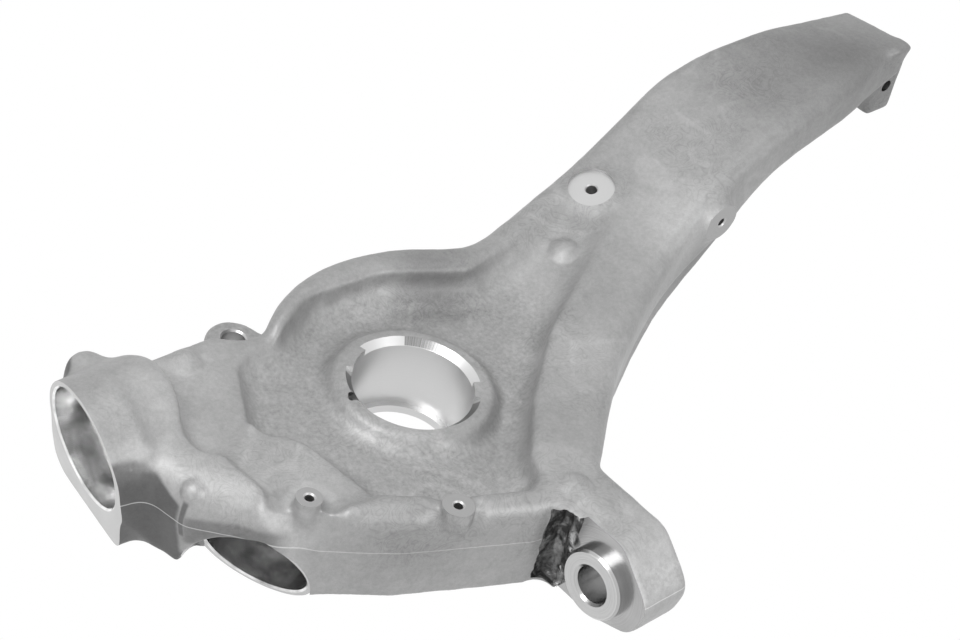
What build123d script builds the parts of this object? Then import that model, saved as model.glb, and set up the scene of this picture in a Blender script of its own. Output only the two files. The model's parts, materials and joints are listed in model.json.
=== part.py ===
"""Steering knuckle: one machined aluminium forging with a swan neck.

Millimetres. The origin is the hub bore's centre on the forging's parting plane, +Z is the
hub axis, +Y runs up the swan neck and +X points to the tie rod lug.
"""
import os
from math import cos, radians, sin, tan

from build123d import *

os.makedirs("parts", exist_ok=True)

# forging: crest of the rims above the parting plane, foot below it, and the web between
CREST = 28
FOOT = 34.5
WEB_TOP = 6
WEB_UNDER = 5
RIM_ROUND = 10
RIM_INNER_ROUND = 5
FLOOR_ROUND = 6
BLOCK_TOP = 18
PLATEAU_TOP = 21
LOBE_ROUND = 20
LOBE_FOOT = 38
LOBE_DRAFT = 12

# hub seat
HUB_BORE_R = 35
HUB_LIP_R = 31
HUB_MOUTH = 15
HUB_SEAT_DEPTH = 47
HUB_LIP_THICK = 5
HUB_WALL = 13
HUB_CHAMFER = 4
HUB_ROUND = 4
HUB_FLANGE_R = 58
HUB_FLANGE_THICK = 12

# swan neck: its top face rises in an S from the rims' crest
NECK_START = 105
NECK_END = 430
NECK_RISE = 72
NECK_LINE = ((194, 40), (250, 61), (300, 79), (350, 92))
NECK_THICK = 40
NECK_SKIN = 10
NECK_UNDER_ROUND = 12
END_BLOCK_LENGTH = 21
END_BLOCK_DROP = 52
END_BLOCK_LEFT = -78
END_BLOCK_RIGHT = -23.5
END_TILT = 9
END_FLARE = 3

# lower ball joint boss at the -Y end
JOINT_R = 35
JOINT_X = -55
JOINT_Y = -187
JOINT_Z = 5.5
JOINT_TURN = 8.4
JOINT_DROP = 11.2
JOINT_WALL = 4
JOINT_LENGTH = 58
JOINT_SEAT_DEPTH = 22
JOINT_THROAT_R = 27
JOINT_DEPTH = 46
JOINT_CHIN = 48
JOINT_ROUND = 20
KNOB_R = 12
KNOB_TOP = 30.5
KNOB_LENGTH = 50

# second lower bore, cut obliquely under the front lobe
STRUT_R = 31
STRUT_X = 32
STRUT_Y = -132
STRUT_Z = -30
STRUT_TURN = -24.5
STRUT_DROP = 25
STRUT_WALL = 4
STRUT_DEPTH = 44

# tie rod lug
LUG_X = 156
LUG_Z = -8
LUG_FACE = 5
LUG_THICK = 35
LUG_BORE_R = 11
LUG_COLLAR_R = 21
LUG_COLLAR_RISE = 7
LUG_CHAMFER = 1.5
LUG_EDGE_ROUND = 4
LUG_ROOT_X = 111

# caliper ears
EAR_X = -99
EAR_Y = -47
EAR_PITCH = 130
EAR_TOP = -10
EAR_THICK = 20
EAR_R = 17
EAR_HOLE_R = 7
EAR_CHAMFER = 2.5

# tapped holes and the faces round them
TAP_R = 2.6
TAP_DEPTH = 14
TAP_CHAMFER = 0.8
FIRST_BOSS = (49.5, -120, 26)
FIRST_BOSS_R = 7.5
FIRST_BOSS_TALL = 22
SECOND_BOSS = (97, -56.5, 29.5)
SECOND_BOSS_R = 8.7
SECOND_BOSS_TALL = 9
SIDE_BOSS = (1, 248, 38)
SIDE_BOSS_R = 13
SIDE_BOSS_TALL = 20
PAD_CENTRE = (-61.6, 194, 39.2)
PAD_TILT = 20
PAD_R = 14.6
PAD_TAP_R = 3.4
PAD_BOSS_R = 16
PAD_BOSS_TALL = 20

# clamp at the top of the neck
STUD_R = 7
STUD_DEPTH = 38
STUD_BELOW_TOP = 16
PINCH_R = 4.2
PINCH_WALL = 3
PINCH_FROM_END = 10
SLIT = 3

# how far the cutting tools run past the forging
REACH = NECK_END


def rounded(points):
    """Closed outline of straight runs, each corner given as x, y and its rounding."""
    face = make_face(Polyline([(x, y) for x, y, r in points], close=True))
    for x, y, r in points:
        if r:
            face = fillet(face.vertices().sort_by_distance((x, y, 0))[0], r)
    return face


def slab(outline, low, high):
    """Outline raised between two heights."""
    return Pos(0, 0, low) * extrude(outline, high - low)


def leaning(turn, drop):
    """Direction near -Y, turned toward -X and dropped below the parting plane."""
    return Vector(-sin(radians(turn)) * cos(radians(drop)),
                  -cos(radians(turn)) * cos(radians(drop)), -sin(radians(drop)))


def drilled(place, direction, radius, depth, chamfer=0):
    """Cutter for a hole whose mouth is at place, going in against direction."""
    mouth = Plane(origin=place, z_dir=direction)
    cutter = mouth * Pos(0, 0, 1 - depth / 2) * Cylinder(radius, depth + 2)
    if chamfer:
        cutter += mouth * Pos(0, 0, -chamfer / 2) * Cone(radius, radius + chamfer, chamfer)
    return cutter


def flatEdges(solid, upward):
    """Edges where a near-level face that looks up, or down, meets a steep wall."""
    found = []
    for edge in solid.edges():
        middle = edge @ 0.5
        tilts = [face.normal_at(middle).Z for face in solid.faces() if any(edge.is_same(e) for e in face.edges())]
        level = max(tilts) if upward else -min(tilts)
        if level > 0.7 and min(abs(t) for t in tilts) < 0.3:
            found.append(edge)
    return found


def innerRim(solid):
    """Edges where the rims' level crest drops into the recess round the hub."""
    found = []
    for edge in solid.edges():
        if all(abs((edge @ t).Z - CREST) < 0.05 for t in (0.1, 0.5, 0.9)):
            sides = [face for face in solid.faces() if any(edge.is_same(e) for e in face.edges())]
            if min(abs(face.normal_at(edge @ 0.5).Z) for face in sides) < 0.3:
                found.append(edge)
    return found


sideView = Plane(origin=(-REACH, 0, 0), x_dir=(0, 1, 0), z_dir=(1, 0, 0))


def swept(outline):
    """Side outline in Y and Z, carried right across the forging."""
    return extrude(sideView * outline, 2 * REACH)


def risingLine(level, offset, end):
    """Line that is level over the hub and then climbs the neck at offset from its top face."""
    climb = [(y, z + offset) for y, z in NECK_LINE]
    return Spline((NECK_START, level), *climb, (end, CREST + NECK_RISE + offset), tangents=((1, 0), (1, 0)))


def planOutline():
    """Plan of the forging at its parting plane."""
    root = (LUG_ROOT_X, LUG_FACE + LUG_THICK)
    front = Polyline((-80, -150), (-30, -155), (30, -140), (62, -126), (90, -83), (122, -9),
                     (126, LUG_FACE), (LUG_X - 8, LUG_FACE), (LUG_X - 8, LUG_FACE + LUG_THICK), root)
    right = Spline(root, (61, 103), (32, 151), (5, 211), (-8, 275), (-12, 330),
                   (-17, 380), (END_BLOCK_RIGHT, NECK_END - END_BLOCK_LENGTH), tangents=((-33, 42), (-0.2, 1)))
    top = Polyline((END_BLOCK_RIGHT, NECK_END - END_BLOCK_LENGTH), (END_BLOCK_RIGHT, NECK_END),
                   (END_BLOCK_LEFT, NECK_END))
    left = Spline((END_BLOCK_LEFT, NECK_END), (-89, 366), (-100.5, 293), (-93, 237), (-84, 177), (-76, 134),
                  (-72, 98), (-83, 73), (-93, 46), (-96, 5), (-87, -28), (-72, -51))
    block = Polyline((-72, -51), (-74, -68), (-85, -79), (-86, -140), (-80, -150))
    face = make_face(Wire(front.edges() + right.edges() + top.edges() + left.edges() + block.edges()))
    for x, y, r in ((62, -126, 20), (90, -83, 60), (*root, 8), (-72, -51, 12), (-74, -68, 12), (-85, -79, 12)):
        face = fillet(face.vertices().sort_by_distance((x, y, 0))[0], r)
    return face


def blank(plan):
    """Plan and side view crossed, with the rims' crest and the foot rounded."""
    top = risingLine(CREST, 0, NECK_END + 12)
    peak = CREST + NECK_RISE
    foot = NECK_END - END_BLOCK_LENGTH
    under = Spline((foot, peak - NECK_THICK), (350, 53), (300, 37), (262, 7), (225, -12), (160, -27),
                   (NECK_START - 20, -FOOT), tangents=((-1, -0.1), (-1, 0)))
    outline = make_face(Wire(
        Polyline((-REACH, -FOOT), (-REACH, CREST), (NECK_START, CREST)).edges() + top.edges()
        + Polyline((NECK_END + 12, peak), (NECK_END + 12, peak - END_BLOCK_DROP), (foot, peak - END_BLOCK_DROP),
                   (foot, peak - NECK_THICK)).edges()
        + under.edges() + Polyline((NECK_START - 20, -FOOT), (-REACH, -FOOT)).edges()))
    body = slab(plan, -FOOT - 5, 200) & swept(outline)
    body = body.fillet(RIM_ROUND, [edge for edge in flatEdges(body, True) if (edge @ 0.5).Y < NECK_END - 1])
    longest = ShapeList(flatEdges(body, False)).sort_by(SortBy.LENGTH)[-2:]
    body = body.fillet(NECK_UNDER_ROUND, longest.sort_by(Axis.X)[-1:])
    tilted = Plane(origin=(END_BLOCK_RIGHT, NECK_END, peak), z_dir=(-tan(radians(END_TILT)), 0.02, 1))
    return body - tilted * Pos(0, 0, 40) * Box(200, 170, 80)


def upperPocket():
    """Recess round the hub, walled by the rims and running out up the neck."""
    outline = rounded([(-14, -108, 8), (-4, -104, 8), (3, -95, 8), (12, -90, 12), (40, -86, 25), (67, -84, 12),
                       (88, -50, 60), (108, -2, 10), (84, 10, 20), (50, 44, 80), (10, 96, 80), (-20, 152, 60), (-44, 200, 14),
                       (-72, 196, 14), (-56, 134, 40), (-50, 86, 22), (-74, 36, 30), (-78, -16, 30),
                       (-62, -50, 12), (-60, -80, 8)])
    floor = Spline((70, WEB_TOP), (130, 16), (195, 37), tangents=((1, 0), (1, 0.36)))
    above = make_face(Wire(Polyline((-REACH, 120), (-REACH, WEB_TOP), (70, WEB_TOP)).edges() + floor.edges()
                           + Polyline((195, 37), (230, 51), (230, 120), (-REACH, 120)).edges()))
    tool = slab(outline, -5, 110) & swept(above)
    return tool.fillet(FLOOR_ROUND, flatEdges(tool, False))


def lowerPocket():
    """Recess in the outboard side, between the hub and the rims and on up the neck as a channel."""
    outline = rounded([(-76, -62, 10), (-56, -78, 10), (30, -84, 10), (62, -96, 12), (78, -72, 40), (110, -2, 12),
                       (96, 24, 20), (48, 96, 80), (16, 146, 60), (-8, 212, 60), (-24, 280, 60), (-34, 392, 8),
                       (-66, 392, 8), (-90, 292, 60), (-80, 236, 60), (-71, 180, 60), (-60, 104, 20),
                       (-73, 62, 20), (-81, 26, 30), (-80, -8, 20)])
    floor = risingLine(-WEB_UNDER, -NECK_SKIN, NECK_END)
    peak = floor @ 1
    below = make_face(Wire(Polyline((-REACH, -80), (-REACH, -WEB_UNDER), floor @ 0).edges() + floor.edges()
                           + Polyline(peak, (peak.X, -80), (-REACH, -80)).edges()))
    tool = slab(outline, -70, 110) & swept(below)
    return tool.fillet(FLOOR_ROUND, flatEdges(tool, True))


def hub():
    """Raised ring round the hub bore, with the flange that faces the wheel."""
    back = HUB_MOUTH - HUB_SEAT_DEPTH - HUB_LIP_THICK
    ring = slab(Circle(HUB_BORE_R + HUB_WALL), back, HUB_MOUTH)
    ring = fillet(ring.edges().sort_by(Axis.Z)[-1], HUB_ROUND)
    return ring + slab(Circle(HUB_FLANGE_R), back, back + HUB_FLANGE_THICK)


def lobe():
    """Full front corner between the two lower bores."""
    outline = rounded([(-40, -150, 0), (-40, -200, 0), (-15.5, -200, 0), (-12, -177, 8), (15, -172, 6),
                       (61, -128, 12), (52, -100, 0), (0, -112, 0)])
    body = slab(outline, 0, CREST)
    crest = [edge for edge in flatEdges(body, True)
             if (edge @ 0.5).Y < -145 and (edge @ 0.5).X > -20 or (edge @ 0.5).X > 55]
    return body.fillet(LOBE_ROUND, crest) + extrude(outline, -LOBE_FOOT, taper=LOBE_DRAFT)


def jointMouth():
    """Plane of the lower ball joint's machined face."""
    turn = radians(JOINT_TURN)
    return Plane(origin=(JOINT_X, JOINT_Y, JOINT_Z), x_dir=(cos(turn), -sin(turn), 0),
                 z_dir=leaning(JOINT_TURN, JOINT_DROP))


def jointBoss():
    """Round boss with a chin, cut off by its leaning machined face."""
    outer = JOINT_R + JOINT_WALL
    chin = rounded([(1 - outer, 0, 0), (1 - outer, -JOINT_CHIN, 15), (outer - 2, -JOINT_CHIN, 9), (outer, 0, 0)])
    facing = Plane(origin=(JOINT_X, JOINT_Y - 14, JOINT_Z), x_dir=(1, 0, 0), z_dir=(0, -1, 0))
    body = extrude(facing * (Circle(outer) + chin), -JOINT_LENGTH - 14)
    body = body.fillet(JOINT_ROUND, [edge for edge in body.edges() if (edge @ 0.5).Y > JOINT_Y + JOINT_LENGTH - 1
                                     and (edge @ 0.5).Z > JOINT_Z + 10])
    knob = Pos(JOINT_X - outer + 3, JOINT_Y + 26, KNOB_TOP - KNOB_LENGTH / 2) * Cylinder(KNOB_R, KNOB_LENGTH)
    return body + fillet(knob.edges().sort_by(Axis.Z)[-1], KNOB_R - 3)


def strutMouth():
    """Plane of the second lower bore's oblique machined face."""
    return Plane(origin=(STRUT_X, STRUT_Y, STRUT_Z), z_dir=leaning(STRUT_TURN, STRUT_DROP))


def strutBoss():
    """Sleeve of the second lower bore."""
    return strutMouth() * Pos(0, 0, -STRUT_DEPTH / 2 - 3) * Cylinder(STRUT_R + STRUT_WALL, STRUT_DEPTH + 6)


def lug():
    """Tie rod lug, cut square to the bore, with its turned collar."""
    profile = rounded([(-46, 30, 0), (8, 34, 14), (36, 8, 14), (30, -16, 14), (6, -25, 16), (-46, -20, 0)])
    facing = Plane(origin=(LUG_X, LUG_FACE, LUG_Z), x_dir=(1, 0, 0), z_dir=(0, -1, 0))
    body = extrude(facing * profile, -LUG_THICK)
    body = body.fillet(LUG_EDGE_ROUND, [edge for edge in body.edges() if (edge @ 0.5).Y > LUG_FACE + LUG_THICK - 0.1
                                        and (edge @ 0.5).X > LUG_X - 40])
    collar = facing * Pos(0, 0, LUG_COLLAR_RISE / 2 - 1) * Cylinder(LUG_COLLAR_R, LUG_COLLAR_RISE + 2)
    return body + chamfer(collar.edges().sort_by(Axis.Y)[0], LUG_CHAMFER)


def ear(y):
    """Caliper ear, blended back into the rim."""
    outline = make_hull([*(Pos(EAR_X, y) * Circle(EAR_R)).edges(), *(Pos(EAR_X + 30, y) * Circle(EAR_R + 6)).edges()])
    return slab(outline, EAR_TOP - EAR_THICK, EAR_TOP)


def lowBump(x, y, z, radius, rise):
    """Low round swelling left by the die."""
    ball = (radius * radius + rise * rise) / (2 * rise)
    return Pos(x, y, z + rise - ball) * Sphere(ball) & Pos(x, y, z) * Cylinder(radius + 3, 4 * rise)


def mouthCuts():
    """Metal taken off outside the two lower bores' machined faces."""
    joint = jointMouth() * Pos(0, 0, 30) * Box(130, 150, 60)
    strut = strutMouth() * Pos(0, 0, 30) * Cylinder(STRUT_R + STRUT_WALL, 60)
    return joint + (strut & slab(Rectangle(2 * REACH, 2 * REACH), -REACH, -2))


def seats():
    """Casting left of the hub and behind the front rim, cut down from the crest."""
    block = rounded([(-120, -40, 0), (-120, -139, 0), (-72, -137, 12), (-42, -141, 10), (-16, -150, 10), (2, -148, 10),
                     (-2, -128, 14), (-14, -108, 8), (-40, -60, 0), (-56, -50, 0)])
    plateau = rounded([(-14, -106, 8), (0, -142, 12), (20, -139, 20), (47, -136, 10), (64, -108, 14), (70, -84, 8),
                       (40, -76, 0), (4, -84, 0)])
    tool = slab(block, BLOCK_TOP, BLOCK_TOP + 60)
    tool = tool.fillet(FLOOR_ROUND, flatEdges(tool, False))
    other = slab(plateau, PLATEAU_TOP, PLATEAU_TOP + 60)
    return tool + other.fillet(FLOOR_ROUND - 1, flatEdges(other, False))


def pillar(place, radius, reach, normal=(0, 0, 1)):
    """Pillar that ends in a machined disc and runs back into the metal."""
    return Plane(origin=place, z_dir=normal) * Pos(0, 0, -reach / 2) * Cylinder(radius, reach)


def recess():
    """Chipped notch between the front rim's end and the lug's machined face."""
    outline = rounded([(122.5, -12, 0), (115.5, -3, 3), (117, 8, 3), (125, 9.5, 2), (128, LUG_FACE - 0.1, 0), (134, -12, 0)])
    return slab(outline, -34, 22)


def lowBumps():
    """Low swellings: on the block, at the head of the web and over the lug's root."""
    return [lowBump(-77, -104, BLOCK_TOP, 7, 3), lowBump(-40, 157, 21, 9, 4), lowBump(113, 14.5, CREST - 2, 11, 4)]


def padNormal():
    """Direction that the disc on the neck faces."""
    return 0, -sin(radians(PAD_TILT)), cos(radians(PAD_TILT))


def spotface(place, normal, radius, height):
    """Cutter that clears the metal over a machined disc."""
    return Plane(origin=place, z_dir=normal) * Pos(0, 0, height / 2) * Cylinder(radius, height)


def hubBore():
    """Seat for the bearing with its shoulder, lip and mouth chamfer."""
    seat = drilled((0, 0, HUB_MOUTH), (0, 0, 1), HUB_BORE_R, HUB_SEAT_DEPTH, HUB_CHAMFER)
    return seat + drilled((0, 0, 0), (0, 0, 1), HUB_LIP_R, HUB_SEAT_DEPTH + HUB_LIP_THICK)


def bores():
    """Machined bores, with the steps and chamfers that show in them."""
    joint, strut = leaning(JOINT_TURN, JOINT_DROP), leaning(STRUT_TURN, STRUT_DROP)
    jointPlace, strutPlace = (JOINT_X, JOINT_Y, JOINT_Z), (STRUT_X, STRUT_Y, STRUT_Z)
    lugPlace = (LUG_X, LUG_FACE - LUG_COLLAR_RISE, LUG_Z)
    cuts = [hubBore(),
            drilled(jointPlace, joint, JOINT_R, JOINT_SEAT_DEPTH, 1),
            drilled(jointPlace, joint, JOINT_THROAT_R, JOINT_DEPTH),
            drilled(strutPlace, strut, STRUT_R, STRUT_DEPTH, 1),
            drilled(lugPlace, (0, -1, 0), LUG_BORE_R, LUG_THICK + LUG_COLLAR_RISE + 5, LUG_CHAMFER)]
    for y in (EAR_Y, EAR_Y + EAR_PITCH):
        cuts.append(drilled((EAR_X, y, EAR_TOP), (0, 0, 1), EAR_HOLE_R, EAR_THICK + 2, EAR_CHAMFER))
    return cuts


def tappedHoles():
    """Small tapped holes, each with its countersink, and the disc faced on the neck."""
    return [drilled(FIRST_BOSS, (0, 0, 1), TAP_R, TAP_DEPTH, TAP_CHAMFER),
            drilled(SECOND_BOSS, (0, 0, 1), TAP_R, TAP_DEPTH, TAP_CHAMFER),
            drilled(SIDE_BOSS, (1, 0, 0), TAP_R, TAP_DEPTH, TAP_CHAMFER),
            spotface(PAD_CENTRE, padNormal(), PAD_R, 8),
            drilled(PAD_CENTRE, padNormal(), PAD_TAP_R, TAP_DEPTH, TAP_CHAMFER)]


def endFlare():
    """Corner of the neck's end that stands out past its right side."""
    crest = CREST + NECK_RISE
    corner = make_face(Polyline((END_BLOCK_RIGHT, crest - 4 * END_FLARE), (END_BLOCK_RIGHT + END_FLARE, crest),
                                (END_BLOCK_RIGHT - 3 * END_FLARE, crest), close=True))
    return Plane(origin=(0, NECK_END, 0), x_dir=(1, 0, 0), z_dir=(0, -1, 0)) * extrude(corner, 5 * END_FLARE)


def topClamp():
    """Stud bore in the neck's end, the slit that lets it close, and the pinch bolt's hole."""
    middle = (END_BLOCK_LEFT + END_BLOCK_RIGHT) / 2
    crest = CREST + NECK_RISE
    studZ = crest - STUD_BELOW_TOP
    stud = drilled((middle, NECK_END, studZ), (0, 1, 0), STUD_R, STUD_DEPTH, 1)
    slit = Pos(middle, NECK_END - END_BLOCK_LENGTH / 2, studZ - END_BLOCK_DROP / 2) \
        * Box(SLIT, END_BLOCK_LENGTH + 2, END_BLOCK_DROP)
    pinch = Pos(middle, NECK_END - PINCH_FROM_END, studZ - STUD_R - PINCH_R - PINCH_WALL) * Rot(0, 90, 0) \
        * Cylinder(PINCH_R, 2 * REACH)
    return [stud, slit, pinch]


forging = blank(planOutline()) - upperPocket()
forging = forging.fillet(RIM_INNER_ROUND, innerRim(forging))
forging -= lowerPocket()
forging += [hub(), lobe(), jointBoss(), strutBoss(), lug(), endFlare(), ear(EAR_Y), ear(EAR_Y + EAR_PITCH)]
forging -= seats()
forging += [pillar(FIRST_BOSS, FIRST_BOSS_R, FIRST_BOSS_TALL),
            pillar(SECOND_BOSS, SECOND_BOSS_R, SECOND_BOSS_TALL),
            pillar(SIDE_BOSS, SIDE_BOSS_R, SIDE_BOSS_TALL, (1, 0, 0)),
            pillar(PAD_CENTRE, PAD_BOSS_R, PAD_BOSS_TALL, padNormal()),
            *lowBumps()]
forging -= [mouthCuts(), recess()]
forging -= bores() + tappedHoles() + topClamp()
print("knuckle", forging.is_valid, round(forging.volume / 1000, 1), len(forging.faces()), len(forging.solids()))
export_step(forging, "parts/knuckle.step")
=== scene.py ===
# Steering knuckle in raw forged aluminium, with its turned seats and milled faces, in a plain white studio.
import json
import math

import bmesh
import bpy
import numpy as np
from mathutils import Matrix, Vector


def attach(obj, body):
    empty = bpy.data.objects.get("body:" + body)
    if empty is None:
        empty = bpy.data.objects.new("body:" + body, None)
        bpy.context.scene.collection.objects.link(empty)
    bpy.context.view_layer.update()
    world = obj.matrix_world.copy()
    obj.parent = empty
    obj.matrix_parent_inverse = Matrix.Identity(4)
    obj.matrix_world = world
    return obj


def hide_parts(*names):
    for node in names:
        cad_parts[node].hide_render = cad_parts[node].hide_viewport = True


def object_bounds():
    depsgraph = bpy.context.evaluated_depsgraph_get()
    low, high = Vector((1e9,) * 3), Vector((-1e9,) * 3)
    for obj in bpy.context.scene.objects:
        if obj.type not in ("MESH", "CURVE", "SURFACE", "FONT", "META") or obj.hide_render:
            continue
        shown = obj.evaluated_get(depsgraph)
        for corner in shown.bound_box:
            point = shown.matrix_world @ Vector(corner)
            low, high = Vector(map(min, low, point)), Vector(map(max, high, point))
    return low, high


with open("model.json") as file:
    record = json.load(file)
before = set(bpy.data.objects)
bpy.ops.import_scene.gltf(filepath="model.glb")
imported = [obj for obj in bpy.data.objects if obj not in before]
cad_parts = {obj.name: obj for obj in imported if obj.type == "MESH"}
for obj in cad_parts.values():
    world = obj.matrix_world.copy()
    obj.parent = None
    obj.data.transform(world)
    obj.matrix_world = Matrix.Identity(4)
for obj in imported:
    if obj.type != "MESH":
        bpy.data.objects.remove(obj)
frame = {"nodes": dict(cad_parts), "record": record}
cadLow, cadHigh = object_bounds()
mounts = {mount["name"]: mount for mount in frame["record"]["mounts"]}
mm = 0.001


# Small tools for meshes

def pointsOf(mesh):
    points = np.empty(len(mesh.vertices) * 3, np.float32)
    mesh.vertices.foreach_get("co", points)
    return points.reshape(-1, 3).astype(float)


def movePoints(mesh, points):
    mesh.vertices.foreach_set("co", points.astype(np.float32).ravel())
    mesh.update()


def normalsOf(mesh):
    normals = np.empty(len(mesh.vertices) * 3, np.float32)
    mesh.vertex_normals.foreach_get("vector", normals)
    return normals.reshape(-1, 3).astype(float)


def newPiece(name, mesh):
    piece = bpy.data.objects.new(name, mesh)
    bpy.context.scene.collection.objects.link(piece)
    return piece


def newMesh(name, points, faces):
    mesh = bpy.data.meshes.new(name)
    mesh.from_pydata(points, [], faces)
    mesh.update()
    return mesh


def prism(name, outline, low, high):
    count = len(outline)
    points = [(x * mm, y * mm, z * mm) for z in (low, high) for x, y in outline]
    sides = [(i, (i + 1) % count, (i + 1) % count + count, i + count) for i in range(count)]
    return newMesh(name, points, [tuple(reversed(range(count))), tuple(range(count, 2 * count)), *sides])


def gathered(name, meshes):
    build = bmesh.new()
    for mesh in meshes:
        build.from_mesh(mesh)
    mesh = bpy.data.meshes.new(name)
    build.to_mesh(mesh)
    build.free()
    return mesh


def settle(piece):
    # turns the piece's modifiers into its mesh
    graph = bpy.context.evaluated_depsgraph_get()
    mesh = bpy.data.meshes.new_from_object(piece.evaluated_get(graph))
    piece.modifiers.clear()
    piece.data = mesh


def remesh(piece, voxel):
    step = piece.modifiers.new("remesh", "REMESH")
    step.mode = "VOXEL"
    step.voxel_size = voxel
    settle(piece)


def offset(piece, distance):
    mesh = piece.data
    movePoints(mesh, pointsOf(mesh) + distance * normalsOf(mesh))


def smooth(piece, rounds):
    step = piece.modifiers.new("smooth", "SMOOTH")
    step.iterations = rounds
    step.factor = 0.5
    settle(piece)


def lighten(piece, ratio):
    step = piece.modifiers.new("lighten", "DECIMATE")
    step.ratio = ratio
    settle(piece)


def cut(piece, mesh, material=None, operation="DIFFERENCE"):
    # the cut faces take the material
    if material:
        mesh.materials.append(material)
    tool = newPiece(mesh.name, mesh)
    step = piece.modifiers.new("cut", "BOOLEAN")
    step.operation = operation
    step.object = tool
    step.solver = "MANIFOLD"
    step.material_mode = "TRANSFER"
    settle(piece)
    bpy.data.objects.remove(tool)


def ripple(points, size, seed):
    # gentle lumps of about the given size, from -1 to 1
    waves = 9
    chance = np.random.default_rng(seed)
    total = np.zeros(len(points))
    for wave in range(waves):
        direction = chance.normal(size=3)
        direction *= 2 * math.pi / (size * chance.uniform(0.7, 1.5) * np.linalg.norm(direction))
        total += np.sin(points @ direction + chance.uniform(0, 2 * math.pi))
    return total / math.sqrt(waves) / 1.5


def roughen(mesh, waves, firstSeed=0, stretch=(1, 1, 1)):
    # waves are pairs of height and size
    points = pointsOf(mesh)
    spread = points * stretch
    height = sum(tall * ripple(spread, size, firstSeed + step) for step, (tall, size) in enumerate(waves))
    movePoints(mesh, points + height[:, None] * normalsOf(mesh))


def swell(mesh, domes):
    # domes are a place, a radius and a height; a height below 0 sinks a hollow
    points = pointsOf(mesh)
    height = np.zeros(len(points))
    for place, radius, tall in domes:
        reach = np.linalg.norm(points - np.array(place) * mm, axis=1) / (radius * mm)
        height += tall * mm * np.clip(1 - reach ** 3, 0, 1) ** 2
    movePoints(mesh, points + height[:, None] * normalsOf(mesh))


# Turned and milled seats, each one profile spun round its axis. Lengths are in millimetres from the
# seat's mouth: lead is the chamfer, clear the room above, rise the raw metal that is machined away from
# the face. Boss and root are the radius and depth of raw metal round the mouth, and a late seat gets it
# after the corners are filled. Gaps are from one angle to another, with the radius that the cutter keeps
# within there.

seats = {
    "hubSeat": {"mount": "hub_bore", "mouth": 15, "lead": 4, "steps": [(31, 52)], "through": 8, "flare": 8,
                "clear": 40, "turns": 192, "gaps": [(41, 61, 35.02), (192, 221, 35.02)]},
    "lowerJointSeat": {"mount": "lower_joint_bore", "lead": 1, "steps": [(27, 46)], "face": 62, "clear": 20,
                       "rise": 6, "flats": [0], "boss": 37.5, "root": 23, "turns": 192},
    "obliqueSeat": {"mount": "oblique_lower_bore", "lead": 1, "face": 35.2, "clear": 20, "rise": 4,
                    "flats": [0], "turns": 192},
    "tieRodSeat": {"mount": "tie_rod_bore", "lead": 1.5, "collar": (21, 7, 1.5), "face": 37.5, "clear": 15,
                   "rise": 3, "flats": [0, 7], "through": 8, "turns": 144, "gaps": [(135, 225, 31)]},
    "frontTapSeat": {"mount": "front_tap", "lead": 0.8, "face": 8.2, "clear": 6, "rise": 3, "boss": 7.5,
                     "root": 20, "late": True, "turns": 64},
    "rimTapSeat": {"mount": "rim_tap", "lead": 0.8, "face": 9.8, "clear": 6, "rise": 3, "boss": 8.9,
                   "root": 14, "late": True, "turns": 64},
    "neckPadSeat": {"mount": "neck_pad_tap", "lead": 0.8, "face": 14.6, "clear": 8, "rise": 3, "boss": 15,
                    "turns": 96},
    "sideTapSeat": {"mount": "side_boss_tap", "lead": 0.8, "face": 14, "clear": 5, "rise": 3, "boss": 12.6,
                    "turns": 64},
    "studSeat": {"mount": "top_stud_bore", "lead": 1, "face": 75, "clear": 8, "rise": 3, "flats": [0],
                 "turns": 96},
    "pinchSeat": {"mount": "pinch_bolt_hole", "lead": 0, "clear": 6, "through": 6, "turns": 64},
}
earSeat = {"lead": 1, "flare": 1, "clear": 6, "through": 3, "boss": 10.2, "root": 4, "turns": 64,
           "thickness": 20, "above": 10}
skin = 0.6  # how far a plug reaches past its bore's wall


def seatAxis(seat):
    return Vector(mounts[seat["mount"]]["axis"]).normalized()


def seatSides(axis):
    # two directions square to the axis; for an upright seat they are X and Y
    first = Vector((1, 0, 0)) if abs(axis.x) < 0.9 else Vector((0, 1, 0))
    across = (first - axis * first.dot(axis)).normalized()
    return across, axis.cross(across)


def seatMouth(seat):
    mount = mounts[seat["mount"]]
    above = seat.get("mouth", mount["dims"]["length_mm"] / 2 + seat["lead"])
    return Vector(mount["pos_m"]) + seatAxis(seat) * above * mm


def seatSizes(seat):
    dims = mounts[seat["mount"]]["dims"]
    return dims["r_mm"], dims["length_mm"]


def reachAt(seat, angle, reach):
    for start, end, limit in seat.get("gaps", []):
        if start < angle < end:
            return min(reach, limit)
    return reach


def seatAngles(seat):
    # even steps, with a pair of close ones at each end of a gap
    close = 0.03
    angles = [360 * step / seat["turns"] for step in range(seat["turns"])]
    for start, end, limit in seat.get("gaps", []):
        angles += [start - close, start + close, end - close, end + close]
    return sorted(angles)


def cutterProfile(seat, radius, length):
    mouth = radius + seat["lead"]
    if "face" in seat:
        profile = [(seat["clear"], 0), (seat["clear"], seat["face"])]
        if "collar" in seat:
            wide, tall, bevel = seat["collar"]
            profile += [(-tall, seat["face"]), (-tall, wide), (-bevel, wide), (0, wide - bevel)]
        else:
            profile += [(0, seat["face"])]
        profile += [(0, mouth)]
    else:
        flare = seat.get("flare", 0.01)
        profile = [(seat["clear"], 0), (seat["clear"], mouth + flare), (flare, mouth + flare)]
    deep = length + seat["lead"]
    profile += [(-seat["lead"] - 0.001, radius), (-deep, radius)]
    for narrow, end in seat.get("steps", []):
        profile += [(-deep, narrow), (-end, narrow)]
        deep = end
    deep += seat.get("through", 0)
    return profile[:-1] + [(-deep, profile[-1][1]), (-deep, 0)]


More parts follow.
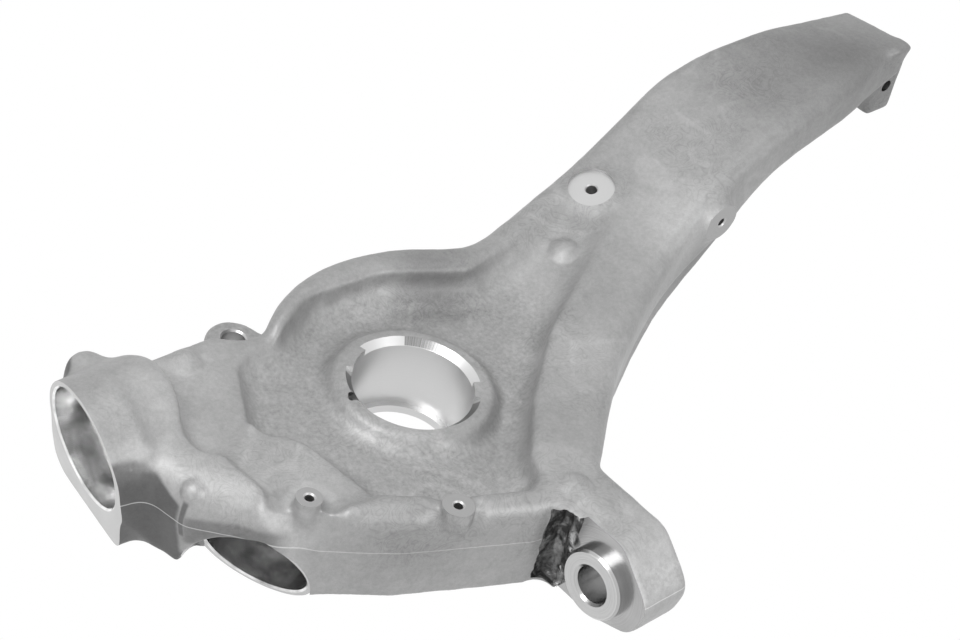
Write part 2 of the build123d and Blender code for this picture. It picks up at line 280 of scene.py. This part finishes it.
def plugProfile(seat, radius, length):
    rise = seat.get("rise", 0)
    wide = max(seat.get("boss", 0), radius + seat["lead"] + skin)
    root = seat.get("root", seat["lead"] + 1)
    deep = length + seat["lead"]
    profile = [(rise, 0), (rise, wide), (-root, wide), (-root, radius + skin), (-deep, radius + skin)]
    for narrow, end in seat.get("steps", []):
        profile += [(-deep, narrow + skin), (-end, narrow + skin)]
        deep = end
    return profile + [(-deep, 0)]


def spun(name, seat, place, axis, profile):
    # the profile is pairs of height and radius, from the top of the axis down to its foot
    angles = seatAngles(seat)
    turns = len(angles)
    points = []
    for height, reach in profile[1:-1]:
        for angle in angles:
            out = reachAt(seat, angle, reach)
            turn = math.radians(angle)
            points.append((out * math.cos(turn) * mm, out * math.sin(turn) * mm, height * mm))
    top = len(points)
    points.append((0, 0, profile[0][0] * mm))
    points.append((0, 0, profile[-1][0] * mm))
    faces = []
    for ring in range(len(profile) - 3):
        for step in range(turns):
            after = (step + 1) % turns
            here = ring * turns
            faces.append((here + step, here + turns + step, here + turns + after, here + after))
    last = (len(profile) - 3) * turns
    for step in range(turns):
        after = (step + 1) % turns
        faces.append((top, step, after))
        faces.append((top + 1, last + after, last + step))
    mesh = newMesh(name, points, faces)
    across, upward = seatSides(axis)
    mesh.transform(Matrix.Translation(place) @ Matrix((across, upward, axis)).transposed().to_4x4())
    return mesh


def seatPlug(name, seat):
    radius, length = seatSizes(seat)
    return spun(name, {"turns": 96}, seatMouth(seat), seatAxis(seat), plugProfile(seat, radius, length))


def raisedFlat(mesh, place, normal, rise):
    # prism on the flat face that lies in a plane, so that the cut afterwards leaves it a crisp rim
    near = 0.05 * mm
    corners = {}
    points = []
    rings = []
    for face in mesh.polygons:
        if face.normal.dot(normal) > 0.999 and abs((face.center - place).dot(normal)) < near:
            ring = []
            for index in face.vertices:
                point = mesh.vertices[index].co
                key = tuple(round(value / mm * 1000) for value in point)
                if key not in corners:
                    corners[key] = len(points)
                    points.append(point.copy())
                ring.append(corners[key])
            rings.append(ring)
    count = len(points)
    edges = {(a, b) for ring in rings for a, b in zip(ring, ring[1:] + ring[:1])}
    faces = [tuple(reversed(ring)) for ring in rings]
    faces += [tuple(corner + count for corner in ring) for ring in rings]
    faces += [(a, b, b + count, a + count) for a, b in sorted(edges) if (b, a) not in edges]
    low = [point - normal * mm for point in points]
    high = [point + normal * rise * mm for point in points]
    return newMesh("flat", low + high, faces)


def earSeats():
    ears = mounts["caliper_ears"]
    for side in (-0.5, 0.5):
        shift = Vector((0, side * ears["dims"]["spacing_y_mm"], earSeat["above"]))
        yield Vector(ears["pos_m"]) + shift * mm, ears["dims"]["hole_r_mm"]


def turnSeats(piece):
    for name, seat in seats.items():
        axis = seatAxis(seat)
        mouth = seatMouth(seat)
        radius, length = seatSizes(seat)
        tool = spun(name, seat, mouth, axis, cutterProfile(seat, radius, length))
        cut(piece, tool, turnedMetal(name, mouth, axis, radius))
    for number, (mouth, radius) in enumerate(earSeats()):
        axis = Vector((0, 0, 1))
        profile = cutterProfile(earSeat, radius, earSeat["thickness"] - earSeat["lead"])
        tool = spun("earSeat", earSeat, mouth, axis, profile)
        cut(piece, tool, turnedMetal("earSeat%d" % number, mouth, axis, radius))


# The slit that lets the top end close on its stud, the chipped notch beside the lug and the nibble in the
# hub ring's edge. The notch's fill closes the plain cut of the solid, so that a rough one takes its place.

topSlit = {"width": 3, "below": 52, "deep": 22, "past": 2}
ringNibble = {
    "outline": [(-12, -33), (-4, -34), (-4.5, -38), (-6, -41.5), (-9, -42), (-11.5, -39)],
    "low": 11.5, "high": 18, "voxel": 0.6 * mm, "rough": ((0.5 * mm, 5 * mm), (0.2 * mm, 2.5 * mm)),
}
chippedNotch = {
    "outline": [(134, -12), (134, 5.2), (128, 5.2), (125, 9.5), (119, 8), (117.5, -3), (124, -12)],
    "fill": [(134.5, -1), (134.5, 6), (128.5, 6), (125.5, 10.2), (116.4, 8.7), (114.8, -1)], "fillLow": -34,
    "low": -31, "high": 22, "voxel": 0.9 * mm, "rough": ((0.8 * mm, 7 * mm), (0.35 * mm, 3 * mm)),
}
chipSeed = 20
chipStretch = (1, 1, 0.45)  # the chips are drawn out along Z


def roughTool(name, chip):
    tool = newPiece(name, prism(name, chip["outline"], chip["low"], chip["high"]))
    remesh(tool, chip["voxel"])
    roughen(tool.data, chip["rough"], chipSeed, chipStretch)
    mesh = tool.data
    bpy.data.objects.remove(tool)
    mesh.materials.clear()
    return mesh


def cutSlit(piece):
    middle = seatMouth(seats["studSeat"]) / mm
    half = topSlit["width"] / 2
    back = middle.y - topSlit["deep"]
    front = middle.y + topSlit["past"]
    outline = [(middle.x - half, back), (middle.x + half, back),
               (middle.x + half, front), (middle.x - half, front)]
    cut(piece, prism("topSlit", outline, middle.z - topSlit["below"], middle.z), sawnMetal())


def cutNotch(piece):
    chipped = chippedMetal()
    for name, chip in (("chippedNotch", chippedNotch), ("ringNibble", ringNibble)):
        cut(piece, roughTool(name, chip), chipped)


# The wide cove where the rims' inner walls run out into the recess round the hub. The hub's own ring is
# cleared away first, from its floor up, and the outline bounds the cove.

pocketCove = {
    "blend": 11 * mm, "voxel": 2.4 * mm,
    "ring": 50, "ringFloor": 6, "ringHeight": 40,
    "outline": [(-14, -108), (3, -95), (40, -86), (67, -84), (88, -50), (108, -2), (84, 10), (50, 44),
                (10, 96), (-20, 152), (-44, 200), (-72, 196), (-56, 134), (-50, 86), (-74, 36), (-78, -16),
                (-62, -50), (-60, -80)],
    "low": 4, "high": 60,
}


def makeCove(filled):
    cove = pocketCove
    piece = newPiece("cove", filled.copy())
    remesh(piece, cove["voxel"])
    tall = cove["ringHeight"]
    ring = [(1, 0), (1, cove["ring"]), (-tall, cove["ring"]), (-tall, 0)]
    above = Vector((0, 0, cove["ringFloor"] + tall)) * mm
    cut(piece, spun("ringRoom", {"turns": 96}, above, Vector((0, 0, 1)), ring))
    for distance in (cove["blend"], -cove["blend"]):
        offset(piece, distance)
        remesh(piece, cove["voxel"])
    cut(piece, prism("coveRoom", cove["outline"], cove["low"], cove["high"]), operation="INTERSECT")
    mesh = piece.data
    bpy.data.objects.remove(piece)
    return mesh


# The forging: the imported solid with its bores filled, given the soft blends that a die leaves in every
# corner. Waves are heights and sizes of its unevenness, hollows sink the metal round the two front bosses.

forgingShape = {
    "coarseVoxel": 1.9 * mm,
    "fineVoxel": 1.3 * mm,
    "cornerBlend": 5 * mm,
    "softening": 9,
    "waves": ((0.22 * mm, 34 * mm), (0.1 * mm, 11 * mm), (0.03 * mm, 4.5 * mm)),
    "lighten": 0.36,
    "hollows": [((53, -126, 22), 25, -9.5), ((98.5, -58.5, 26), 19, -5)],
    "knobs": [((11.4, -167.8, 20.7), 8, 2.6), ((-38.5, 153, 23), 11, 3), ((-72.7, -107.7, 19.1), 12, 2.4),
              ((118.3, 12.1, 28.9), 11, 2)],
}


def filledSolid():
    solid = frame["nodes"]["knuckle"].data
    notch = chippedNotch
    parts = [solid, prism("notchFill", notch["fill"], notch["fillLow"], notch["high"])]
    for name, seat in seats.items():
        axis = seatAxis(seat)
        parts.append(seatPlug(name, seat))
        for below in seat.get("flats", []):
            parts.append(raisedFlat(solid, seatMouth(seat) - axis * below * mm, axis, seat["rise"]))
    for mouth, radius in earSeats():
        profile = plugProfile(earSeat, radius, earSeat["thickness"] - earSeat["lead"])
        parts.append(spun("ear", {"turns": 64}, mouth, Vector((0, 0, 1)), profile))
    return gathered("forging", parts)


def fillCorners(piece):
    # grown by the blend and shrunk again in two halves, which leaves metal in the inner corners
    blend = forgingShape["cornerBlend"]
    for distance in (blend, -blend / 2, -blend / 2):
        remesh(piece, forgingShape["coarseVoxel"])
        smooth(piece, 2)
        offset(piece, distance)


def blendedForging():
    shape = forgingShape
    filled = filledSolid()
    cove = makeCove(filled)
    piece = newPiece("forging", filled)
    fillCorners(piece)
    swell(piece.data, shape["hollows"])
    late = [seatPlug(name, seat) for name, seat in seats.items() if seat.get("late")]
    piece.data = gathered("forging", [piece.data, cove, *late])
    remesh(piece, shape["fineVoxel"])
    smooth(piece, shape["softening"])
    swell(piece.data, shape["knobs"])
    roughen(piece.data, shape["waves"])
    lighten(piece, shape["lighten"])
    return piece


# Finishes. A Wire is a node's output that can be written into plain sums.

class Wire:
    def __init__(self, finish, socket):
        self.finish = finish
        self.socket = socket

    def __add__(self, other):
        return self.finish.sum("ADD", self, other)

    def __radd__(self, other):
        return self.finish.sum("ADD", other, self)

    def __sub__(self, other):
        return self.finish.sum("SUBTRACT", self, other)

    def __rsub__(self, other):
        return self.finish.sum("SUBTRACT", other, self)

    def __mul__(self, other):
        return self.finish.sum("MULTIPLY", self, other)

    def __rmul__(self, other):
        return self.finish.sum("MULTIPLY", other, self)

    def __abs__(self):
        return self.finish.sum("ABSOLUTE", self)


class Finish:
    def __init__(self, name):
        self.material = bpy.data.materials.new(name)
        self.material.use_nodes = True
        self.tree = self.material.node_tree
        self.shader = self.tree.nodes["Principled BSDF"]

    def feed(self, socket, value):
        if isinstance(value, Wire):
            self.tree.links.new(value.socket, socket)
        else:
            socket.default_value = value

    def node(self, kind, settings=None, output=0, **inputs):
        made = self.tree.nodes.new(kind)
        for setting, value in (settings or {}).items():
            setattr(made, setting, value)
        for socket, value in inputs.items():
            # _0 is the first socket by number, any other word is the socket's name
            key = int(socket[1:]) if socket[0] == "_" else socket
            self.feed(made.inputs[key], value)
        return Wire(self, made.outputs[output])

    def sum(self, operation, *values):
        inputs = {"_%d" % number: value for number, value in enumerate(values)}
        return self.node("ShaderNodeMath", {"operation": operation}, **inputs)

    def place(self):
        return self.node("ShaderNodeTexCoord", output="Object")

    def parts(self, vector):
        return [self.node("ShaderNodeSeparateXYZ", output=axis, Vector=vector) for axis in range(3)]

    def noise(self, place, scale, detail=2.0, roughness=0.5, distortion=0.0):
        return self.node("ShaderNodeTexNoise", Vector=place, Scale=scale, Detail=detail, Roughness=roughness,
                         Distortion=distortion)

    def strands(self, value, scale):
        # noise along one direction only, as the marks of a tool
        return self.node("ShaderNodeTexNoise", {"noise_dimensions": "1D"}, W=value, Scale=scale, Detail=3.0,
                         Roughness=0.7)

    def dot(self, vector, direction):
        return self.node("ShaderNodeVectorMath", {"operation": "DOT_PRODUCT"}, output=1,
                         _0=vector, _1=direction)

    def band(self, value, low, high):
        # 0 below low, 1 above high, smooth between
        return self.node("ShaderNodeMapRange", {"interpolation_type": "SMOOTHSTEP"},
                         _0=value, _1=low, _2=high)

    def between(self, value, low, high, edge):
        # 1 from low to high, with soft edges
        return self.band(value, low - edge, low) * (1 - self.band(value, high, high + edge))

    def paint(self, tone, metallic, roughness, bump=None):
        colour = self.node("ShaderNodeCombineColor", Red=tone, Green=tone, Blue=tone)
        self.feed(self.shader.inputs["Base Color"], colour)
        self.feed(self.shader.inputs["Metallic"], metallic)
        self.feed(self.shader.inputs["Roughness"], roughness)
        if bump:
            self.feed(self.shader.inputs["Normal"], bump)
        return self.material


# Turned faces. Lines, patches and streaks say how strongly the tool's marks, the stains and the burnished
# stretches show. Rings give a seat's tone from that radius outwards. Arcs give the tone of its chamfer
# between two angles, and how streaky it is.

plainSeat = {"tone": 0.5, "roughness": 0.3, "lines": 0.1, "lineScale": 2200.0, "patches": 0.14,
             "patchScale": 55.0, "streaks": 0.0, "rings": [], "arcs": []}
seatLook = {
    "hubSeat": {"tone": 0.66, "roughness": 0.34, "lines": 0.08, "patches": 0.06, "rings": [(35.1, 0.66)],
                "arcs": [(114, 146, 0.45, 0.9), (-1, 36, 0.5, 0.3), (-132, -110, 0.5, 0.3)]},
    "lowerJointSeat": {"tone": 0.84, "roughness": 0.22, "lines": 0.12, "patches": 0.2, "streaks": 1.3,
                       "rings": [(36.2, 0.52)]},
    "obliqueSeat": {"tone": 0.66, "roughness": 0.25, "lines": 0.16, "patches": 0.2, "streaks": 1.4,
                    "rings": [(32.2, 0.45)]},
    "tieRodSeat": {"tone": 0.5, "roughness": 0.22, "lines": 0.3,
                   "rings": [(12.6, 0.54), (19.8, 0.42), (21.2, 0.44)]},
    "neckPadSeat": {"roughness": 0.42, "lines": 0.05, "patches": 0.03, "rings": [(4.4, 0.5)]},
    "frontTapSeat": {"roughness": 0.42, "patches": 0.04, "rings": [(3.6, 0.36)]},
    "rimTapSeat": {"roughness": 0.42, "patches": 0.04, "rings": [(3.6, 0.36)]},
    "sideTapSeat": {"roughness": 0.42, "patches": 0.04, "rings": [(3.6, 0.4)]},
}


def ringTones(finish, look, radial):
    soft = 0.1
    tone = look["tone"]
    for start, level in look["rings"]:
        tone = tone + finish.band(radial, (start - soft) * mm, (start + soft) * mm) * (level - tone)
    return tone


def chamferTones(finish, look, tone, angle, onChamfer):
    for start, end, level, streaks in look["arcs"]:
        # each arc darkens the chamfer towards its level, streaked along the angle
        arcLevel = level * (1 + (finish.strands(angle, 90.0) - 0.5) * 3 * streaks)
        inArc = finish.between(angle, math.radians(start), math.radians(end), 0.03)
        tone = tone * (1 - inArc * onChamfer * (1 - arcLevel))
    return tone


def burnish(finish, look, angle, along, inside):
    # soft light and dark bands on the bore's wall
    sweep = finish.node("ShaderNodeCombineXYZ", X=angle * 2.2, Y=along * 90.0)
    bands = finish.node("ShaderNodeTexNoise", {"noise_dimensions": "2D"}, Vector=sweep, Scale=1.0, Detail=2.5)
    return (bands - 0.5) * look["streaks"] * inside


def turnedMetal(name, place, axis, radius):
    look = {**plainSeat, **seatLook.get(name, {})}
    finish = Finish(name)
    here = finish.place()
    fromMouth = finish.node("ShaderNodeVectorMath", {"operation": "SUBTRACT"}, _0=here, _1=place)
    along = finish.dot(fromMouth, axis)
    across, upward = [finish.dot(fromMouth, side) for side in seatSides(axis)]
    radial = finish.sum("SQRT", across * across + upward * upward)
    angle = finish.sum("ARCTAN2", upward, across)
    lines = finish.strands(along + radial, look["lineScale"])
    patches = finish.noise(here, look["patchScale"], 3.0)
    tone = ringTones(finish, look, radial)
    if look["arcs"]:
        onChamfer = finish.band(radial, (radius + 0.1) * mm, (radius + 0.2) * mm)
        tone = chamferTones(finish, look, tone, angle, onChamfer)
    tone = tone + (lines - 0.5) * look["lines"] + (patches - 0.5) * look["patches"]
    if look["streaks"]:
        inside = 1 - finish.band(radial, (radius + 0.9) * mm, (radius + 1) * mm)
        tone = tone + burnish(finish, look, angle, along, inside)
    bump = finish.node("ShaderNodeBump", Strength=0.15, Distance=0.05 * mm, Height=lines)
    return finish.paint(tone, 1.0, look["roughness"] + (patches - 0.5) * 0.12, bump)


def sawnMetal():
    finish = Finish("sawnMetal")
    lines = finish.noise(finish.place(), 900.0, 3.0)
    return finish.paint(0.5 + (lines - 0.5) * 0.2, 1.0, 0.45)


# dark is the chips' darkest tone, partly their own rough metal and partly painted shade in the recesses of
# the notch and the nibble
chippedLook = {"dark": 0.06, "bright": 0.5, "grainScale": 260.0, "coarseScale": 90.0}


def chippedMetal():
    look = chippedLook
    finish = Finish("chippedMetal")
    here = finish.place()
    grain = finish.noise(here, look["grainScale"], 4.0, 0.7)
    coarse = finish.noise(here, look["coarseScale"], 3.0, 0.6, 0.8)
    facets = finish.band(coarse * 0.6 + grain * 0.4, 0.42, 0.65)
    tone = look["dark"] + facets * (look["bright"] - look["dark"])
    bump = finish.node("ShaderNodeBump", Strength=0.8, Distance=1.0 * mm, Height=grain)
    return finish.paint(tone, 0.5, 0.4, bump)


# The raw skin. The parting line climbs the neck as a parabola from its start, and the neck below it gets a
# little painted shade.
# Below a sloping edge the trimmed corner gets painted shade, and the groove and the strip under the lobe are
# painted shade near it.

rawLook = {
    "tone": 0.42,
    "cloudScale": 20.0, "mottleScale": 130.0, "speckleScale": 430.0, "grainScale": 1600.0,
    "partingRise": 0.762, "partingStart": 105 * mm, "partingWidth": 0.5 * mm,
    "cornerTop": 15.6 * mm, "cornerSlope": 0.45, "cornerFront": -165 * mm, "cornerRight": 10 * mm,
    "grooveX": 12 * mm, "stripLeft": 17 * mm, "stripRight": 48 * mm, "stripTop": 9 * mm,
    "cornerDark": 0.68, "grooveDark": 0.6, "stripDark": 0.42,
}


# Broad painted light and shade on the raw skin: centre and reach in millimetres, and the change of tone

paintedLightAndShade = [
    ((-60, 66, 15), 42, -0.36), ((-50, 345, 92), 85, -0.26), ((-30, 400, 97), 75, -0.26),
    ((-18, 120, 14), 34, 0.16), ((-52, 178, 32), 20, -0.16), ((34, -24, 11), 26, 0.06),
    ((70, 10, 12), 50, -0.08), ((40, 95, 28), 48, 0.16), ((-2, 218, 48), 46, 0.3),
    ((-3, 240, 10), 36, -0.2), ((176, 25, 14), 52, 0.26), ((-60, -140, 26), 85, 0.16),
    ((26, -154, 21), 40, 0.12), ((27, -93, 21), 34, 0.12), ((93, -75, 6), 40, -0.14),
]


def paintLightAndShade(finish, here):
    # painted light and shade: brightens or darkens the tone round each centre
    total = 1.0
    for place, reach, change in paintedLightAndShade:
        centre = [value * mm for value in place]
        away = finish.node("ShaderNodeVectorMath", {"operation": "DISTANCE"}, output=1,
                           _0=here, _1=centre)
        total = total + (1 - finish.band(away, 0.1 * reach * mm, reach * mm)) * change
    return total


def paintedShadeMarks(finish, x, y, z, wiggle, upright):
    # painted shade: a dark patch on the trimmed corner, a dark line for the groove's shadow beside it and a
    # dark strip under the lobe's overhang
    look = rawLook
    front = 1 - finish.band(y, look["cornerFront"], look["cornerFront"] + 5 * mm)
    edge = z + x * look["cornerSlope"] - look["cornerTop"] + wiggle
    corner = (1 - finish.band(edge, -1.5 * mm, 1.5 * mm)) * front
    right = look["cornerRight"]
    corner = corner * (1 - finish.band(x + wiggle, right - 2 * mm, right + 2 * mm))
    groove = (1 - finish.band(abs(x - look["grooveX"]), 0.8 * mm, 2.4 * mm)) * front
    groove = groove * finish.between(z, -8 * mm, 13 * mm, 4 * mm)
    strip = finish.between(x, look["stripLeft"], look["stripRight"], 9 * mm)
    strip = strip * finish.between(z + wiggle, -12 * mm, look["stripTop"] - 4 * mm, 5 * mm)
    strip = strip * (1 - finish.band(y, -132 * mm, -122 * mm))
    lesser = finish.sum("MAXIMUM", groove * look["grooveDark"], strip * look["stripDark"])
    return finish.sum("MAXIMUM", corner * look["cornerDark"], lesser) * upright


def flowMarks(finish, here):
    # fine curls where the metal ran in the die, and a few broad pale ones
    flow = finish.noise(here, 60.0, 1.5, 0.4, 1.1)
    curl = 1 - finish.band(abs(finish.sum("FRACT", flow * 13.0) - 0.5), 0.03, 0.24)
    curls = curl * finish.band(finish.noise(here, 15.0, 1.0), 0.46, 0.6)
    ribbon = finish.noise(here, 14.0, 0.6, 0.4, 1.3)
    ribbons = 1 - finish.band(abs(ribbon - 0.5), 0.015, 0.05)
    ribbons = ribbons * finish.band(finish.noise(here, 17.0, 1.0), 0.51, 0.58)
    return ribbons * 0.045 - curls * 0.05


def rawForging():
    # clouds, mottle, speckle and grain are unevenness from coarse to fine
    look = rawLook
    finish = Finish("rawForging")
    here = finish.place()
    x, y, z = finish.parts(here)
    clouds = finish.noise(here, look["cloudScale"], 4.0, 0.55)
    mottle = finish.noise(here, look["mottleScale"], 4.0, 0.6)
    speckle = finish.noise(here, look["speckleScale"], 2.0, 0.5)
    grain = finish.noise(here, look["grainScale"], 2.0, 0.6)
    facing = finish.parts(finish.node("ShaderNodeTexCoord", output="Normal"))[2]
    upright = 1 - finish.band(abs(facing), 0.5, 0.78)
    web = (1 - finish.band(z, 9 * mm, 17 * mm)) * finish.band(facing, 0.5, 0.8)
    climb = finish.sum("MAXIMUM", y - look["partingStart"], 0.0)
    above = z - climb * climb * look["partingRise"]
    parting = (1 - finish.band(abs(above), 0.1 * mm, look["partingWidth"])) * upright
    neck = finish.band(climb, 10 * mm, 60 * mm) * upright
    lowerHalf = 1 - finish.band(above, -0.5 * mm, 0.5 * mm)
    tone = look["tone"] + (clouds - 0.5) * 0.16 + (mottle - 0.5) * 0.16
    tone = tone + (speckle - 0.5) * (0.12 + web * 0.14) + (grain - 0.5) * 0.14
    # painted shade: the neck below the parting line is darkened by 0.1
    tone = tone + flowMarks(finish, here) + parting * 0.2 - neck * lowerHalf * 0.1
    # painted light and shade over broad stretches of the skin
    tone = tone * paintLightAndShade(finish, here)
    # painted shade of the corner, groove and strip, left off the parting line
    tone = tone * (1 - paintedShadeMarks(finish, x, y, z, (clouds - 0.5) * 8 * mm, upright) * (1 - parting))
    relief = mottle * 0.5 + speckle * 0.3 + grain * 0.2
    bump = finish.node("ShaderNodeBump", Strength=0.35, Distance=0.4 * mm, Height=relief)
    return finish.paint(tone, 0.4, 0.5 + (mottle - 0.5) * 0.2, bump)


# The one piece, which stands for the whole solid

forging = blendedForging()
forging.data.materials.clear()
forging.data.materials.append(rawForging())
print("forging blended", len(forging.data.polygons), "faces")
turnSeats(forging)
cutSlit(forging)
cutNotch(forging)
forging.data.set_sharp_from_angle(angle=math.radians(38))
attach(forging, "root")
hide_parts("knuckle")
print("seats turned", len(forging.data.polygons), "faces")


# Studio

studio = {
    "azimuth": 38.0, "elevation": 38.81, "roll": 15.38, "distance": 1600 * mm,
    "target": Vector((-29.9, 81.3, 4.2)) * mm, "lens": 102.09,
    "ambient": 0.2,
    "lights": {
        "topLight": {"place": (-0.2, 0.2, 1.8), "size": 1.4, "power": 4.0},
        "frontLight": {"place": (-0.1, -1.1, 1.4), "size": 1.0, "power": 14.0},
        "rightLight": {"place": (1.6, 0.2, 0.6), "size": 1.0, "power": 8.0},
    },
}


def aimed(place, target):
    return (Vector(target) - Vector(place)).to_track_quat("-Z", "Y")


def makeCamera():
    azimuth = math.radians(studio["azimuth"])
    elevation = math.radians(studio["elevation"])
    back = Vector((math.sin(azimuth) * math.cos(elevation), -math.cos(azimuth) * math.cos(elevation),
                   math.sin(elevation)))
    level = Vector((math.cos(azimuth), math.sin(azimuth), 0))
    turn = Matrix.Rotation(math.radians(studio["roll"]), 3, back)
    right = turn @ level
    up = back.cross(right)
    camera = bpy.data.objects.new("camera", bpy.data.cameras.new("camera"))
    camera.data.lens = studio["lens"]
    camera.data.sensor_width = 36
    camera.data.clip_end = 20
    camera.matrix_world = Matrix.Translation(studio["target"] + back * studio["distance"]) @ Matrix(
        (right, up, back)).transposed().to_4x4()
    bpy.context.scene.collection.objects.link(camera)
    bpy.context.scene.camera = camera


def makeLights():
    for name, light in studio["lights"].items():
        lamp = bpy.data.lights.new(name, "AREA")
        lamp.shape = "DISK"
        lamp.size = light["size"]
        lamp.energy = light["power"]
        piece = bpy.data.objects.new(name, lamp)
        piece.location = light["place"]
        piece.rotation_mode = "QUATERNION"
        piece.rotation_quaternion = aimed(light["place"], studio["target"])
        bpy.context.scene.collection.objects.link(piece)


def seenRay(tree):
    # 1 for rays from the camera, a mirror or glass
    path = tree.nodes.new("ShaderNodeLightPath")
    total = path.outputs["Is Camera Ray"]
    for ray in ("Is Glossy Ray", "Is Transmission Ray"):
        node = tree.nodes.new("ShaderNodeMath")
        node.operation = "ADD"
        node.use_clamp = True
        tree.links.new(total, node.inputs[0])
        tree.links.new(path.outputs[ray], node.inputs[1])
        total = node.outputs[0]
    return total


def makeWorld():
    world = bpy.data.worlds.new("studioWhite")
    world.use_nodes = True
    bpy.context.scene.world = world
    tree = world.node_tree
    background = tree.nodes["Background"]
    background.inputs["Color"].default_value = (1, 1, 1, 1)
    blend = tree.nodes.new("ShaderNodeMapRange")
    blend.inputs["To Min"].default_value = studio["ambient"]
    blend.inputs["To Max"].default_value = 1.0
    tree.links.new(seenRay(tree), blend.inputs["Value"])
    tree.links.new(blend.outputs[0], background.inputs["Strength"])


def makeFloor():
    reach = 4.0
    level = cadLow.z - 0.5 * mm
    corners = [(-reach, -reach, level), (reach, -reach, level), (reach, reach, level), (-reach, reach, level)]
    floor = newPiece("floor", newMesh("floor", corners, [(0, 1, 2, 3)]))
    material = bpy.data.materials.new("palePaper")
    material.use_nodes = True
    tree = material.node_tree
    paper = tree.nodes["Principled BSDF"]
    paper.inputs["Base Color"].default_value = (0.8, 0.8, 0.8, 1)
    paper.inputs["Roughness"].default_value = 0.9
    glow = tree.nodes.new("ShaderNodeEmission")
    mix = tree.nodes.new("ShaderNodeMixShader")
    tree.links.new(seenRay(tree), mix.inputs[0])
    tree.links.new(paper.outputs[0], mix.inputs[1])
    tree.links.new(glow.outputs[0], mix.inputs[2])
    tree.links.new(mix.outputs[0], tree.nodes["Material Output"].inputs["Surface"])
    floor.data.materials.append(material)


makeCamera()
makeLights()
makeWorld()
makeFloor()
bpy.context.scene.view_settings.view_transform = "Standard"
print("studio ready")
